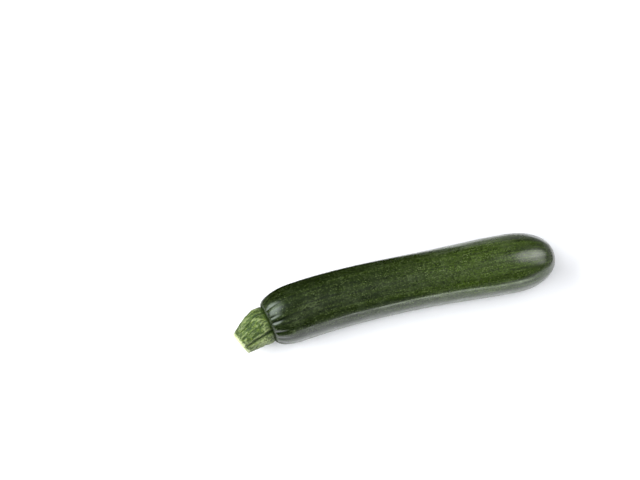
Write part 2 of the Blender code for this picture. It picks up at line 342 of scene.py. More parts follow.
# Soft lights that the gloss doesn't show, as (name, heading, elevation, size, watts), and soft
# cards that only the gloss shows, as (name, place, half size, brightness, colour).
SOFTBOX_DISTANCE = 0.9
TABLE_LIGHTS = (
    ("left_key", 164.0, 40.0, (1.4, 0.6), 14.5),
    ("overhead", -104.0, 66.0, (0.8, 0.6), 5.8),
    ("right_fill", 0.0, 42.0, (1.0, 0.6), 1.2),
)
GLOW_CARDS = (
    ("left_glow", Vector((-0.620, 0.220, 0.550)), (0.58, 0.44), 5.5, (0.88, 1.0, 0.93)),
    ("right_glow", Vector((0.616, -0.011, 0.585)), (0.52, 0.66), 4.3, (1.0, 1.0, 1.0)),
    ("front_strip", Vector((0.060, -0.145, 0.004)), (0.17, 0.008), 4.8, (0.92, 1.0, 0.88)),
)
GLOW_SOFTNESS = 0.75  # how much of a card its fading edges take up

# How bright the room is: as light on the table, low and high in the gloss, and to the camera.
ROOM_LIGHT = 0.28
GLOSS_LOW = 0.02
GLOSS_HIGH = 0.115
GLOSS_CLIMB = (0.50, 0.75)  # the room brightens between these heights, as parts of straight up
ROOM_SEEN = 0.95

# What one piece's patterns are built from: its node tree and shader, its own coordinates, where
# each place was before the piece was bent, the parts of that, and the two groups.
Surface = namedtuple("Surface", "tree shader place unbent x y z flecks streaks")


def ease(low, high, value):
    """Return 0 below low and 1 above high, with a smooth climb between."""
    share = np.clip((value - low) / (high - low), 0.0, 1.0)
    return share * share * (3.0 - 2.0 * share)


def body_radius(x):
    """Return the fruit's radius at x as if neither end closed in."""
    waist = ease(SHOULDER_RUN, WAIST_AT, x) * (WAIST_RADIUS - SHOULDER_RADIUS)
    belly = ease(WAIST_AT, BELLY_AT, x) * (BELLY_RADIUS - WAIST_RADIUS)
    return SHOULDER_RADIUS + waist + belly


def shoulder_outline():
    """Return the outline from the seat's centre over the rim and the shoulder."""
    points = [(SEAT_DEPTH, SEAT_RADIUS * share) for share in SEAT_SHARES]
    points.append((SEAT_DEPTH / 2.0, (SEAT_RADIUS + RIM_RADIUS) / 2.0))
    for ring in range(SHOULDER_RINGS):
        turn = math.radians(90.0 * ring / SHOULDER_RINGS)
        x = SHOULDER_RUN * (1.0 - math.cos(turn))
        points.append((x, RIM_RADIUS + (body_radius(x) - RIM_RADIUS) * math.sin(turn)))
    return points


def blossom_outline():
    """Return the outline round the blossom end, down into the scar."""
    points = []
    start = FRUIT_LENGTH - BLOSSOM_RUN
    girth = body_radius(start)
    last_turn = math.acos((SCAR_RADIUS / girth) ** (BLOSSOM_POWER / 2.0))
    for ring in range(BLOSSOM_RINGS + 1):
        turn = last_turn * ring / BLOSSOM_RINGS
        x = start + BLOSSOM_RUN * math.sin(turn) ** (2.0 / BLOSSOM_POWER)
        points.append((x, girth * math.cos(turn) ** (2.0 / BLOSSOM_POWER)))
    tip = points[-1][0]
    points += [(tip - depth, SCAR_RADIUS * share) for depth, share in SCAR_PROFILE]
    points.append((tip - SCAR_NUB, 0.0))
    return points


def fruit_outline():
    """Return the fruit's half outline as (x, radius), from the seat's centre to the tip."""
    length = FRUIT_LENGTH - BLOSSOM_RUN - SHOULDER_RUN
    middle = [SHOULDER_RUN + length * ring / BODY_RINGS for ring in range(BODY_RINGS)]
    return shoulder_outline() + [(x, body_radius(x)) for x in middle] + blossom_outline()


def skin_length():
    """Return how long the skin is along its outline, from the seat's centre to the tip."""
    steps = np.diff(np.array(fruit_outline()), axis=0)
    return float(np.hypot(*steps.T).sum())


def stem_wall_radius(x):
    """Return the radius of the stem's ribs at x, which is 0 at the neck and less at the cut."""
    share = 1.0 + x / STEM_LENGTH
    start, full = STEM_FLARE_RUN
    flare = STEM_FLARE * np.clip((share - start) / (full - start), 0.0, 1.0)
    necking = STEM_NECKING * ease(full, 1.0, share)
    return STEM_CUT_RADIUS + STEM_TAPER * np.minimum(share, 1.0) + flare - necking


def cut_outline():
    """Return the outline of the dished cut, from its centre to its rounded edge."""
    cut = -STEM_LENGTH
    points = []
    for ring in range(CUT_RINGS):
        share = CUT_FLAT_SHARE * ring / CUT_RINGS
        dish = CUT_DISH * (1.0 - ease(CUT_PITH_SHARE / 2.0, CUT_FLAT_SHARE, share))
        points.append((cut + dish, STEM_CUT_RADIUS * share))
    points.append((cut, STEM_CUT_RADIUS * CUT_FLAT_SHARE))
    points.append((cut, STEM_CUT_RADIUS - STEM_EDGE * 1.5))
    points.append((cut + STEM_EDGE / 8.0, STEM_CUT_RADIUS - STEM_EDGE))
    points.append((cut + STEM_EDGE / 2.0, STEM_CUT_RADIUS - STEM_EDGE / 2.0))
    return points


def stem_outline():
    """Return the stem's half outline as (x, radius), from the cut's centre to the foot's."""
    points = cut_outline()
    wall_start = STEM_EDGE - STEM_LENGTH
    wall_length = -STEM_FOOT_RUN - wall_start
    for ring in range(STEM_RINGS):
        x = wall_start + wall_length * ring / STEM_RINGS
        points.append((x, stem_wall_radius(x)))
    foot = SEAT_DEPTH - STEM_GAP
    foot_wall = stem_wall_radius(-STEM_FOOT_RUN)
    for ring in range(STEM_FOOT_RINGS + 1):
        turn = math.radians(90.0 * ring / STEM_FOOT_RINGS)
        x = -STEM_FOOT_RUN + (foot + STEM_FOOT_RUN) * math.sin(turn)
        points.append((x, STEM_FOOT_RADIUS + (foot_wall - STEM_FOOT_RADIUS) * math.cos(turn)))
    points += [(foot, STEM_FOOT_RADIUS * share) for share in STEM_FOOT_SHARES]
    return points


def finish_mesh(name, body):
    """Return what was built as a mesh, and free what it was built in."""
    mesh = bpy.data.meshes.new(name)
    body.to_mesh(mesh)
    body.free()
    return mesh


def sort_faces(body):
    """Put the faces in one order. Turning and merging leave them in another on every run."""
    body.verts.index_update()
    count = len(body.verts)

    def rank(face):
        corners = [vert.index for vert in face.verts]
        return (min(corners) * count + max(corners)) * 4 * count + sum(corners)

    body.faces.sort(key=rank)


def turn_outline(name, outline, segments):
    """Return a mesh of the outline turned once about the X axis."""
    body = bmesh.new()
    rim = [body.verts.new((x, 0.0, radius)) for x, radius in outline]
    edges = [body.edges.new(pair) for pair in zip(rim, rim[1:])]
    bmesh.ops.spin(
        body,
        geom=rim + edges,
        cent=(0.0, 0.0, 0.0),
        axis=(1.0, 0.0, 0.0),
        angle=math.tau,
        steps=segments,
        use_merge=True,
    )
    bmesh.ops.remove_doubles(body, verts=body.verts, dist=MERGE_DISTANCE)
    bmesh.ops.recalc_face_normals(body, faces=body.faces)
    sort_faces(body)
    mesh = finish_mesh(name, body)
    mesh.shade_smooth()
    return mesh


def read_places(mesh):
    """Return the mesh's vertex places as an array of x, y and z."""
    places = np.empty(len(mesh.vertices) * 3, dtype=np.float32)
    mesh.vertices.foreach_get("co", places)
    return places.reshape(-1, 3).astype(np.float64)


def write_places(mesh, places):
    """Move the mesh's vertices to these places."""
    mesh.vertices.foreach_set("co", places.astype(np.float32).ravel())
    mesh.update()


def keep_values(mesh, name, values):
    """Keep one value or one vector a vertex under a name that a material can read."""
    kind, field = ("FLOAT", "value") if values.ndim == 1 else ("FLOAT_VECTOR", "vector")
    layer = mesh.attributes.new(name, kind, "POINT")
    layer.data.foreach_set(field, values.astype(np.float32).ravel())


def bearings(places):
    """Return the bearing of each place on a straight body."""
    return np.degrees(np.arctan2(-places[:, 1], places[:, 2]))


def bearing_gap(bearing, other):
    """Return the angle between two bearings, from 0 to 180 degrees."""
    return np.abs((bearing - other + 180.0) % 360.0 - 180.0)


def notch(gap, half_width):
    """Return 1 in the bottom of a groove, falling to 0 on the rounded ridge beside it."""
    return np.maximum(0.0, 1.0 - gap / half_width) ** 2


def unevenness(places, sizes, seed):
    """Return smooth noise from -1 to 1 with lumps of these sizes along X, Y and Z."""
    start = Vector([seed * step for step in NOISE_STEPS])
    return np.array([noise.noise(Vector(place) + start) for place in places / np.array(sizes)])


def furrows():
    """Return every furrow of the shoulder as (bearing, depth, reach)."""
    draw = random.Random(FURROW_SEED)
    first = UPPER_FURROWS[-1][0]
    step = (360.0 - first + UPPER_FURROWS[0][0]) / (OTHER_FURROWS + 1)
    found = list(UPPER_FURROWS)
    for index in range(OTHER_FURROWS):
        bearing = first + step * (index + 1) + draw.uniform(-FURROW_JITTER, FURROW_JITTER)
        found.append((bearing, draw.uniform(*FURROW_DEPTHS), draw.uniform(*FURROW_REACHES)))
    return found


def furrow_depth(places, stretch=1.0):
    """Return how deep the furrows are at each place, each with its reach stretched."""
    bearing = bearings(places)
    x = places[:, 0]
    opening = RIM_FURROW_SHARE + (1.0 - RIM_FURROW_SHARE) * ease(0.0, FURROW_START, x)
    total = np.zeros(len(places))
    for furrow_bearing, depth, reach in furrows():
        fade = np.maximum(0.0, 1.0 - x / (reach * stretch)) ** FURROW_FADE_POWER
        gap = bearing_gap(bearing, furrow_bearing)
        total += depth * opening * fade * notch(gap, FURROW_HALF_WIDTH)
    return total


def fruit_relief(places):
    """Return how far the fruit's skin stands out from its turned shape."""
    bearing = bearings(places)
    sides = np.cos(np.radians(BODY_SIDES * (bearing - BODY_SIDE_BEARING)))
    height = BODY_SIDE_RISE * sides * ease(0.0, SHOULDER_RUN, places[:, 0])
    along, around = DENT_SIZE
    dents = unevenness(places, (along, around, around), DENT_SEED)
    height -= DENT_DEPTH * (0.5 + 0.5 * dents)
    puckers = 0.5 + 0.5 * np.cos(np.radians(SCAR_PUCKERS * bearing))
    near_scar = ease(FRUIT_LENGTH - PUCKER_REACH, FRUIT_LENGTH, places[:, 0])
    return height - furrow_depth(places) - PUCKER_DEPTH * puckers * near_scar


def groove_depth(places):
    """Return how deep the grooves between the stem's ribs are at each place."""
    bearing = bearings(places)
    share = np.clip(1.0 + places[:, 0] / STEM_LENGTH, 0.0, 1.0)
    along = CUT_GROOVE_SHARE + (1.0 - CUT_GROOVE_SHARE) * share
    total = np.zeros(len(places))
    for groove in range(STEM_RIBS):
        depth = STEM_GROOVE_DEPTH * (STEM_GROOVE_SHALLOW if groove else 1.0)
        gap = bearing_gap(bearing, STEM_GROOVE_BEARING + groove * 360.0 / STEM_RIBS)
        total += depth * along * notch(gap, STEM_GROOVE_HALF_WIDTH)
    return total


def stem_bumps(places):
    """Return the height of the cords and pimples on the stem's side."""
    along, around = CORD_SIZE
    cords = CORD_DEPTH * unevenness(places, (along, around, around), CORD_SEED)
    along, around = PIMPLE_SIZE
    return cords + PIMPLE_DEPTH * unevenness(places, (along, around, around), PIMPLE_SEED)


def carve(places, relief, outer_radius):
    """Move each place of a straight body by its relief, fading towards the axis."""
    radius = np.hypot(places[:, 1], places[:, 2])
    depth = np.minimum(radius / outer_radius, 1.0) ** RELIEF_POWER
    scale = 1.0 + relief * depth / np.maximum(radius, MERGE_DISTANCE)
    places[:, 1] *= scale
    places[:, 2] *= scale


def heading_vector(heading, pitch=0.0):
    """Return the unit vector with this heading and upward pitch, in degrees."""
    level = math.cos(math.radians(pitch))
    turn = math.radians(heading)
    return Vector((level * math.cos(turn), level * math.sin(turn), math.sin(math.radians(pitch))))


def centreline(start, start_handle, end_handle, end):
    """Return a centreline's points, and the distance along it at each of them."""
    points = np.array(interpolate_bezier(start, start_handle, end_handle, end, PATH_POINTS))
    steps = np.linalg.norm(np.diff(points, axis=0), axis=1)
    return points, np.concatenate(([0.0], np.cumsum(steps)))


def follow(distances, values, along):
    """Return the values of a centreline, read at these distances along it."""
    return np.stack([np.interp(along, distances, values[:, axis]) for axis in range(3)], axis=1)


def bend(places, points, distances, start):
    """Return a straight body's places bent so that its axis follows a centreline."""
    along = places[:, 0] - start
    middle = follow(distances, points, along)
    ahead = follow(distances, np.gradient(points, distances, axis=0), along)
    ahead /= np.linalg.norm(ahead, axis=1, keepdims=True)
    side = np.cross((0.0, 0.0, 1.0), ahead)
    side /= np.linalg.norm(side, axis=1, keepdims=True)
    lift = np.cross(ahead, side)
    beyond = along - np.clip(along, 0.0, distances[-1])
    return middle + ahead * beyond[:, None] + side * places[:, 1:2] + lift * places[:, 2:3]


def rest_on_table(places):
    """Set the underside level with the table and press flat what would go below it."""
    reach = np.clip(places[:, 0], SHOULDER_RUN, BELLY_AT)
    places[:, 2] += body_radius(reach) - REST_DEPTH
    places[:, 2] = np.maximum(places[:, 2], 0.0)


def skin_map(places, outline):
    """Return where each place is on the skin: along it from the neck, and round it."""
    rings = np.array(outline)
    steps = np.hypot(*np.diff(rings, axis=0).T)
    travelled = np.concatenate(([0.0], np.cumsum(steps)))
    radius = np.hypot(places[:, 1], places[:, 2])
    ahead = (places[:, None, 0] - rings[None, :, 0]) ** 2
    outwards = (radius[:, None] - rings[None, :, 1]) ** 2
    along = travelled[np.argmin(ahead + outwards, axis=1)]
    turn = np.radians(bearings(places))
    return np.stack((along, BELLY_RADIUS * np.sin(turn), BELLY_RADIUS * np.cos(turn)), axis=1)


def link_object(name, data):
    """Return a new object that shows this mesh, light or camera in the scene."""
    thing = bpy.data.objects.new(name, data)
    bpy.context.scene.collection.objects.link(thing)
    return thing


def add_piece(mesh, node_name, material):
    """Make the object that stands for one node of the frame."""
    mesh.materials.append(material)
    mesh.set_sharp_from_angle(angle=SHARP_EDGE)
    piece = link_object(mesh.name, mesh)
    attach(piece, "root")
    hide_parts(node_name)


def make_fruit():
    """Build the skinned fruit, from the stem's seat to the blossom scar."""
    outline = fruit_outline()
    mesh = turn_outline("skinned_fruit", outline, FRUIT_SEGMENTS)
    places = read_places(mesh)
    keep_values(mesh, "skin_place", skin_map(places, outline))
    # The furrow value places painted shade along the furrows.
    keep_values(mesh, "furrow", furrow_depth(places, FURROW_TRACE) / UPPER_FURROWS[1][1])
    carve(places, fruit_relief(places), RIM_RADIUS)
    tip = Vector((FRUIT_LENGTH, TIP_SIDE, 0.0))
    neck = Vector((0.0, NECK_SIDE, 0.0))
    neck_handle = neck + heading_vector(NECK_HEADING) * NECK_HANDLE
    tip_handle = tip - heading_vector(TIP_HEADING) * TIP_HANDLE
    points, distances = centreline(neck, neck_handle, tip_handle, tip)
    places = bend(places, points, distances, 0.0)
    rest_on_table(places)
    write_places(mesh, places)
    return mesh


def make_stem():
    """Build the five-ribbed stem, from its cut face to the foot in the seat."""
    mesh = turn_outline("ribbed_stem", stem_outline(), STEM_SEGMENTS)
    places = read_places(mesh)
    wall = stem_wall_radius(places[:, 0])
    radius = np.hypot(places[:, 1], places[:, 2])
    at_cut = places[:, 0] < CUT_DISH + STEM_EDGE - STEM_LENGTH
    cut = np.where(at_cut, 1.0 - ease(*CUT_RIM_SHARES, radius / wall), 0.0)
    keep_values(mesh, "stem_place", places)
    keep_values(mesh, "groove", groove_depth(places) / STEM_GROOVE_DEPTH)
    keep_values(mesh, "cut", cut)
    bumps = stem_bumps(places) * (1.0 - ease(*FOOT_FADE, places[:, 0]))
    at_edge = 1.0 - ease(-STEM_LENGTH, EDGE_FADE - STEM_LENGTH, places[:, 0])
    bumps -= (bumps + EDGE_TRIM) * at_edge
    keep_values(mesh, "bumps", bumps / (CORD_DEPTH + PIMPLE_DEPTH))
    fibres = unevenness(places, (FIBRE_SIZE, FIBRE_SIZE, FIBRE_SIZE), FIBRE_SEED)
    carve(places, bumps - groove_depth(places), wall)
    places[:, 0] += FIBRE_DEPTH * (0.5 + 0.5 * fibres) * cut
    neck = Vector((0.0, NECK_SIDE, SHOULDER_RADIUS - REST_DEPTH))
    cut_middle = neck + CUT_OFFSET
    cut_handle = cut_middle + heading_vector(CUT_HEADING, CUT_PITCH) * STEM_LENGTH / 3.0
    neck_handle = neck - heading_vector(NECK_HEADING) * STEM_LENGTH / 3.0
    points, distances = centreline(cut_middle, cut_handle, neck_handle, neck)
    write_places(mesh, bend(places, points, distances, -distances[-1]))
    return mesh


def set_on_frame(meshes):
    """Move the meshes together to the frame's place: the same middle, on the same base."""
    places = np.concatenate([read_places(mesh) for mesh in meshes])
    low, high = places.min(axis=0), places.max(axis=0)
    cad_low, cad_high = CAD_BOX
    middle = (Vector(cad_low) + Vector(cad_high)) / 2.0
    shift = middle - (Vector(low) + Vector(high)) / 2.0
    shift.z = cad_low[2] - low[2]
    for mesh in meshes:
        mesh.transform(Matrix.Translation(shift))


def add_node(tree, kind, settings=None, sockets=None):
    """Add a node. Each socket is given a plain value, or another node's output to follow."""
    node = tree.nodes.new(kind)
    for name, value in (settings or {}).items():
        setattr(node, name, value)
    for name, value in (sockets or {}).items():
        if isinstance(value, bpy.types.NodeSocket):
            tree.links.new(value, node.inputs[name])
        else:
            node.inputs[name].default_value = value
    return node


def add_math(tree, operation, first, second=0.0):
    """Add a Math node and return its output."""
    node = add_node(tree, "ShaderNodeMath", {"operation": operation}, {0: first, 1: second})
    return node.outputs[0]


def multiply(tree, first, *others):
    """Return the product of all the values."""
    for other in others:
        first = add_math(tree, "MULTIPLY", first, other)
    return first


def add_range(tree, value, low, high, out_low=0.0, out_high=1.0):
    """Return the value's smooth climb from out_low at low to out_high at high."""
    sockets = {"Value": value, "From Min": low, "From Max": high}
    sockets.update({"To Min": out_low, "To Max": out_high})
    node = add_node(tree, "ShaderNodeMapRange", {"interpolation_type": "SMOOTHSTEP"}, sockets)
    return node.outputs["Result"]


def add_mix(tree, share, first, second):
    """Return the colour that is share of the way from the first to the second."""
    node = add_node(tree, "ShaderNodeMix", {"data_type": "RGBA"}, {"Factor": share})
    for socket, colour in ((node.inputs[6], first), (node.inputs[7], second)):
        if isinstance(colour, bpy.types.NodeSocket):
            tree.links.new(colour, socket)
        else:
            socket.default_value = (*colour, 1.0)
    return node.outputs[2]


def lay_over(tree, colour, layers):
    """Return the colour with layers laid over it in turn, each given as (share, colour)."""
    for share, layer in layers:
        colour = add_mix(tree, share, colour, layer)
    return colour


def add_noise(tree, place, size, detail=2.0):
    """Return noise from 0 to 1 with lumps of one size in metres."""
    sockets = {"Vector": place, "Scale": 1.0 / size, "Detail": detail}
    return add_node(tree, "ShaderNodeTexNoise", None, sockets).outputs["Fac"]


def add_bump(tree, height, strength, distance):
    """Return the normal of a fine relief."""
    sockets = {"Height": height, "Strength": strength, "Distance": distance}
    return add_node(tree, "ShaderNodeBump", None, sockets).outputs["Normal"]


def split_place(tree, place):
    """Return the X, Y and Z of a place."""
    return add_node(tree, "ShaderNodeSeparateXYZ", None, {"Vector": place}).outputs


def join_place(tree, x, y, z):
    """Return the place with this X, Y and Z."""
    sockets = {"X": x, "Y": y, "Z": z}
    return add_node(tree, "ShaderNodeCombineXYZ", None, sockets).outputs["Vector"]


def new_group(name, sizes):
    """Return an empty node group that makes a mask from a place and these sizes."""
    group = bpy.data.node_groups.new(name, "ShaderNodeTree")
    group.interface.new_socket(name="Place", in_out="INPUT", socket_type="NodeSocketVector")
    for size in sizes:
        group.interface.new_socket(name=size, in_out="INPUT", socket_type="NodeSocketFloat")
    group.interface.new_socket(name="Mask", in_out="OUTPUT", socket_type="NodeSocketFloat")
    given = group.nodes.new("NodeGroupInput").outputs
    return group, given, group.nodes.new("NodeGroupOutput").inputs["Mask"]


def build_flecks():
    """Build the group that scatters soft dots, each with its own strength."""
    group, given, mask = new_group("flecks", ("Spacing", "Stretch", "Size"))
    scale = add_math(group, "DIVIDE", 1.0, given["Spacing"])
    x, y, z = split_place(group, given["Place"])
    place = join_place(group, add_math(group, "DIVIDE", x, given["Stretch"]), y, z)
    sockets = {"Vector": place, "Scale": scale}
    cells = add_node(group, "ShaderNodeTexVoronoi", None, sockets).outputs
    core = add_math(group, "MULTIPLY", given["Size"], DOT_CORE)
    dot = add_range(group, cells["Distance"], core, given["Size"], 1.0, 0.0)
    chance = add_node(group, "ShaderNodeSeparateColor", None, {"Color": cells["Color"]})
    strength = add_range(group, chance.outputs["Red"], 0.0, 1.0, FAINTEST_DOT, 1.0)
    group.links.new(multiply(group, dot, strength), mask)
    return group


def build_streaks():
    """Build the group that draws uneven streaks along a piece."""
    group, given, mask = new_group("streaks", ("Width", "Length", "Contrast"))
    x, y, z = split_place(group, given["Place"])
    along = add_math(group, "DIVIDE", x, given["Length"])
    side = add_math(group, "DIVIDE", y, given["Width"])
    up = add_math(group, "DIVIDE", z, given["Width"])
    lumps = add_noise(group, join_place(group, along, side, up), 1.0)
    low = add_math(group, "SUBTRACT", 0.5, given["Contrast"])
    high = add_math(group, "ADD", 0.5, given["Contrast"])
    group.links.new(add_range(group, lumps, low, high), mask)
    return group


def read_value(tree, name, output="Fac"):
    """Return a value that the piece keeps at its vertices."""
    return add_node(tree, "ShaderNodeAttribute", {"attribute_name": name}).outputs[output]


def new_material(name):
    """Return a new material, its node tree and its shader."""
    material = bpy.data.materials.new(name)
    material.use_nodes = True
    tree = material.node_tree
    return material, tree, tree.nodes["Principled BSDF"]


def new_surface(name, kept_place, flecks, streaks):
    """Return a piece's material, and what its patterns are built from."""
    material, tree, shader = new_material(name)
    shader.inputs["IOR"].default_value = PLANT_IOR
    place = add_node(tree, "ShaderNodeTexCoord").outputs["Object"]
    unbent = read_value(tree, kept_place, "Vector")
    parts = split_place(tree, unbent)
    return material, Surface(tree, shader, place, unbent, *parts, flecks, streaks)


def add_pattern(surface, group, sizes):
    """Use a group on a piece. Its inputs are the place on the straight piece, and its sizes."""
    sockets = dict(enumerate((surface.unbent, *sizes)))
    node = add_node(surface.tree, "ShaderNodeGroup", {"node_tree": group}, sockets)
    return node.outputs["Mask"]


def add_flecks(surface, sizes):
    """Return soft dots of this spacing, stretch and size."""
    return add_pattern(surface, surface.flecks, sizes)


def add_streaks(surface, sizes):
    """Return streaks of this width, length and contrast."""
    return add_pattern(surface, surface.streaks, sizes)


def near_tip(skin, start, end, out_start, out_end):
    """Return a climb between two distances that are left to the tip."""
    length = skin_length()
    return add_range(skin.tree, skin.x, length - start, length - end, out_start, out_end)


def skin_ground(skin, streak):
    """Return the skin's ground colour, which is lighter and yellower towards the blossom end, with
    painted light making the lower flanks a lighter green.
    """
    tree = skin.tree
    clouds = add_noise(tree, skin.place, *SKIN_CLOUDS)
    mottle = add_streaks(skin, SKIN_MOTTLE)
    layers = (
        (add_range(tree, skin.x, *NECK_TO_MIDDLE), MIDDLE_GREEN),
        (add_range(tree, skin.x, *MIDDLE_TO_BLOSSOM), BLOSSOM_GREEN),
        (add_range(tree, clouds, *CLOUD_SHARE), DEEP_GREEN_AND_FURROW_SHADE),
        # Painted light on the lower flanks.
        (add_range(tree, skin.z, *TABLE_LIT_FLANK_SHARE), TABLE_LIT_FLANK_GREEN),
        (multiply(tree, streak, add_range(tree, skin.x, *STREAKS_ALONG)), STREAK_GREEN),
        (add_range(tree, mottle, *MOTTLE_SHARE), DEEP_GREEN_AND_FURROW_SHADE),
    )
    return lay_over(tree, NECK_GREEN, layers)


def fleck_layers(skin, streak):
    """Return the small flecks, which are strongest in the streaks, and a few larger ones."""
    tree = skin.tree
    in_streaks = add_range(tree, streak, *FLECKS_IN_STREAKS)
    along = add_range(tree, skin.x, *FLECKS_ALONG)
    strength = multiply(tree, in_streaks, along, add_range(tree, skin.z, *FLECKS_BY_HEIGHT))
    small = multiply(tree, add_flecks(skin, SMALL_FLECKS), strength)
    large_along = add_range(tree, skin.x, *LARGE_FLECKS_ALONG)
    large = multiply(tree, add_flecks(skin, LARGE_FLECKS), large_along)
    return (small, FLECK_GREEN), (large, PALE_FLECK)


def line_layers(skin):
    """Return the pale grain, the dark seams, the scratches, and painted shade in dark lines along
    the furrows.
    """
    tree = skin.tree
    grain = multiply(tree, add_streaks(skin, SKIN_GRAIN), add_range(tree, skin.x, *GRAIN_ALONG))
    seams = multiply(tree, add_streaks(skin, SKIN_SEAMS), add_range(tree, skin.x, *SEAMS_ALONG))
    scuffed = add_range(tree, add_noise(tree, skin.place, *SKIN_SCUFFS), *SCUFFED_SHARE)
    scratches = add_range(tree, add_streaks(skin, SKIN_SCRATCHES), *SCRATCH_SHARE)
    return (
        (grain, STREAK_GREEN),
        (seams, DEEP_GREEN_AND_FURROW_SHADE),
        (multiply(tree, scratches, scuffed), PALE_FLECK),
        # Painted shade: dark lines along the furrows and past their ends.
        (add_range(tree, read_value(tree, "furrow"), *PAINTED_FURROW_SHADE), DEEP_GREEN_AND_FURROW_SHADE),
    )


def scar_layers(skin, streak, scar):
    """Return the brown streaks that run up to the scar, and the scar's flaky cork."""
    tree = skin.tree
    puckers = multiply(tree, streak, near_tip(skin, *PUCKERS_BEFORE_TIP))
    flakes = add_range(tree, add_noise(tree, skin.place, *CORK_FLAKES), *FLAKE_SHARE)
    crust = add_range(tree, add_noise(tree, skin.place, *CORK_CRUST), *CRUST_SHARE)
    cork = lay_over(tree, CORK_DARK, ((flakes, CORK_BROWN), (crust, CORK_PALE)))
    return (puckers, CORK_BROWN), (scar, cork)


def set_wax(skin, scar):
    """Set the skin's roughness and its wax, which ends at the neck's rim and at the scar."""
    tree, shader = skin.tree, skin.shader
    waxed = add_range(tree, skin.x, *WAX_ALONG)
    dull = add_math(tree, "ADD", scar, add_math(tree, "SUBTRACT", 1.0, waxed))
    roughness = add_range(tree, add_noise(tree, skin.place, *GLOSS_CLOUDS), *SKIN_ROUGHNESS)
    tree.links.new(add_math(tree, "ADD", roughness, dull), shader.inputs["Roughness"])
    wiped = add_range(tree, add_streaks(skin, SKIN_WIPES), *WIPED_SHARE)
    facing = add_node(tree, "ShaderNodeLayerWeight").outputs["Facing"]
    edge_on = add_range(tree, facing, *EDGE_ON_SHARE)
    wax = multiply(tree, add_math(tree, "SUBTRACT", 1.0, scar), waxed, wiped, edge_on)
    tree.links.new(wax, shader.inputs["Coat Weight"])
    shader.inputs["Specular IOR Level"].default_value = SKIN_SPECULAR
    shader.inputs["Coat Roughness"].default_value = WAX_ROUGHNESS
    shader.inputs["Coat IOR"].default_value = WAX_IOR


def set_skin_relief(skin):
    """Give the skin fine pores and ridges, and its wax long ripples, most of them at the ends."""
    tree, shader = skin.tree, skin.shader
    pores = multiply(tree, add_noise(tree, skin.place, *SKIN_PORES), PORE_SHARE)
    height = add_math(tree, "ADD", pores, add_streaks(skin, SKIN_RIDGES))
    tree.links.new(add_bump(tree, height, *SKIN_BUMP), shader.inputs["Normal"])
    sockets = {"Vector": skin.unbent, "Scale": RIPPLE_STRETCH}
    stretched = add_node(tree, "ShaderNodeMapping", None, sockets).outputs["Vector"]
    at_neck = add_range(tree, skin.x, *RIPPLES_AT_NECK)
    at_ends = add_math(tree, "ADD", at_neck, add_range(tree, skin.x, *RIPPLES_AT_TIP))
    ripples = multiply(tree, add_noise(tree, stretched, *WAX_RIPPLES), at_ends)
    tree.links.new(add_bump(tree, ripples, *RIPPLE_BUMP), shader.inputs["Coat Normal"])


def make_skin(flecks, streaks):
    """Build the waxy skin: dark green, with pale flecks in faint streaks along the fruit."""
    material, skin = new_surface("courgette_skin", "skin_place", flecks, streaks)
    streak = add_streaks(skin, SKIN_STREAKS)
    scar = near_tip(skin, *SCAR_BEFORE_TIP)
    layers = (
        *fleck_layers(skin, streak),
        *line_layers(skin),
        *scar_layers(skin, streak, scar),
    )
    colour = lay_over(skin.tree, skin_ground(skin, streak), layers)
    skin.tree.links.new(colour, skin.shader.inputs["Base Color"])
    set_wax(skin, scar)
    set_skin_relief(skin)
    return material


def stem_layers(stem, dots, creases):
    """Return the mottling, pale dots, dark creases, painted highlight on the cords and the front,
    and painted shade in the hollows, the grooves and at the foot of the stem.
    """
    tree = stem.tree
    mottle = add_streaks(stem, STEM_MOTTLE)
    patches = add_noise(tree, stem.unbent, *STEM_PATCHES)
    bumps = read_value(tree, "bumps")
    return (
        (mottle, STEM_GREEN),
        (add_range(tree, patches, *PATCH_SHARE), STEM_PALE),
        # Painted highlight on the front side.
        (add_range(tree, stem.y, *PAINTED_FRONT_HIGHLIGHT), STEM_PALE),
        (multiply(tree, dots, STEM_DOT_SHARE), STEM_PALE),
        (add_range(tree, creases, *CREASE_SHARE), STEM_DARK),
        # Painted highlight on the cords, and painted shade in the hollows.
        (add_range(tree, bumps, *PAINTED_CORD_HIGHLIGHT), STEM_PALE),
        (add_range(tree, bumps, *PAINTED_HOLLOW_SHADE), STEM_DARK),
        # Painted shade in the grooves.
        (add_range(tree, read_value(tree, "groove"), *PAINTED_GROOVE_SHADE), STEM_DARK),
        # Painted shade at the foot.
        (add_range(tree, stem.x, *PAINTED_FOOT_SHADE), STEM_DARK),
    )


def cut_layers(stem):
    """Return the pale ragged edge of the cut, and the cut itself with its bundles."""
    tree = stem.tree
    ragged = multiply(tree, add_noise(tree, stem.unbent, *RAGGED_EDGE), RAGGED_REACH)
    from_cut = add_math(tree, "ADD", add_math(tree, "ADD", stem.x, ragged), STEM_LENGTH)
    flesh = add_mix(tree, add_flecks(stem, CUT_BUNDLES), CUT_FLESH, CUT_BUNDLE)
    return (
        (add_range(tree, from_cut, *PALE_EDGE), CUT_FLESH),
        (read_value(tree, "cut"), flesh),
    )


